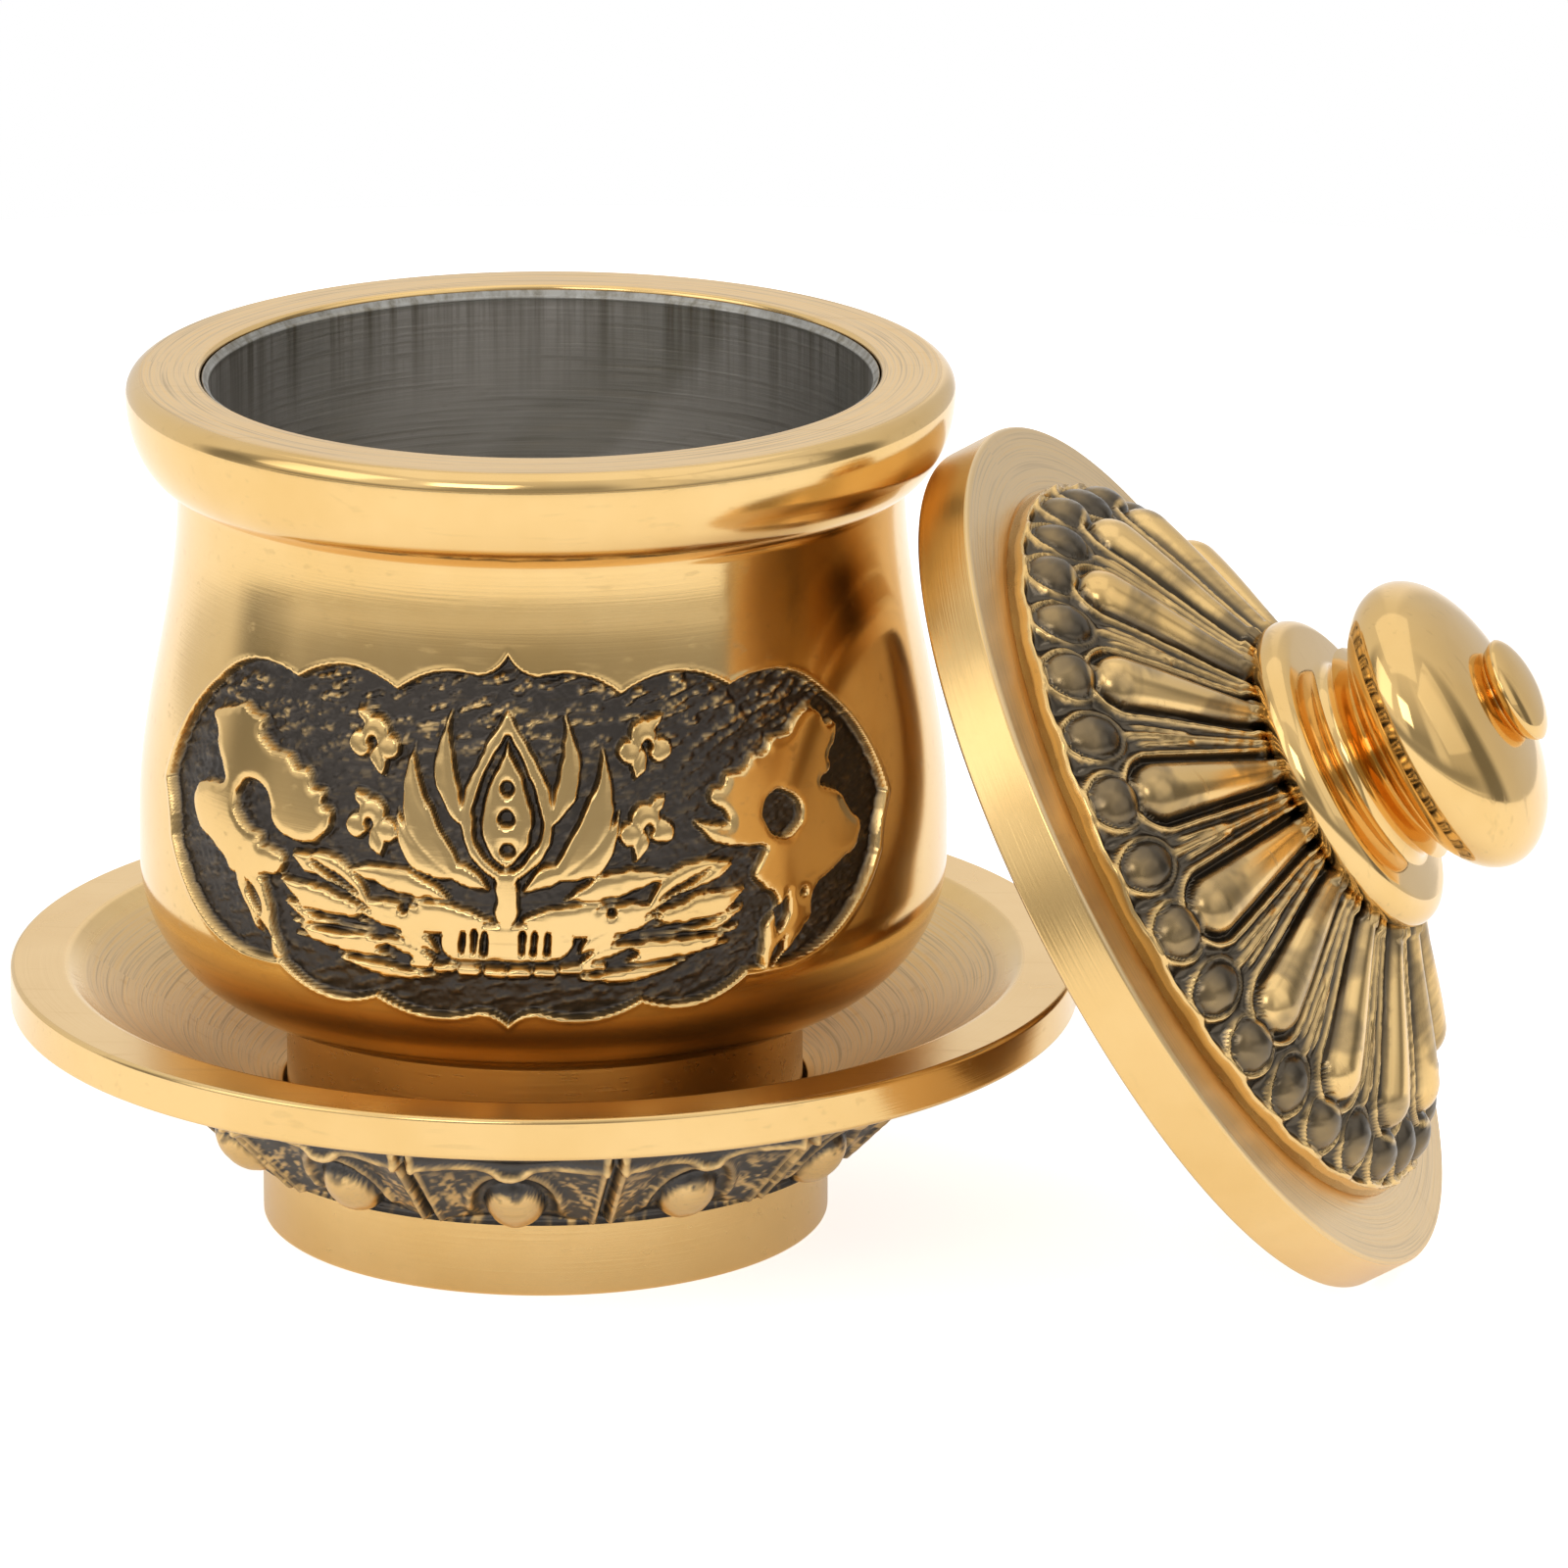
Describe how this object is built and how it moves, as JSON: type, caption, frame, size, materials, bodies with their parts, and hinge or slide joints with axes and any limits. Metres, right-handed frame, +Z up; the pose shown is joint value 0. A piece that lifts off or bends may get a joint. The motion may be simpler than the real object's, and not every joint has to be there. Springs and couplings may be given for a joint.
{
  "type": "covered offering bowl",
  "caption": "Brass offering cup with a grey liner and carved panels, standing in a footed lotus saucer, with a knobbed petal lid leaning against its lip.",
  "frame": {"origin": "centre of the saucer's foot ring, on the table", "axes": "+Z up along the cup's axis, the carved panels face -Y and +Y, and the lid leans on the +X side"},
  "size_m": [0.1092, 0.0769, 0.0619],
  "materials": {
    "polished_brass": "polished",
    "brushed_brass": "brushed",
    "dark_brass": "darkened, with polished high spots",
    "grey_liner": "turned, dull",
    "steel": "plain"
  },
  "bodies": {
    "saucer": {"saucer_dish": "polished_brass", "lotus_collar": "dark_brass", "saucer_foot": "brushed_brass"},
    "cup": {"cup_shell": "polished_brass", "cup_liner": "grey_liner"},
    "lid": {"lid_flange": "brushed_brass", "petal_dome": "dark_brass", "lid_knob": "polished_brass", "knob_screw": "steel", "knob_washer": "steel"}
  },
  "joints": [
    {"name": "cup_lift", "type": "slide", "parent": "saucer", "child": "cup", "axis": [0, 0, 1], "range_m": [0, 0.06]},
    {"name": "lid_pull", "type": "slide", "parent": "cup", "child": "lid", "axis": [0.8576, -0.1205, 0.5], "range_m": [0, 0.05]}
  ]
}
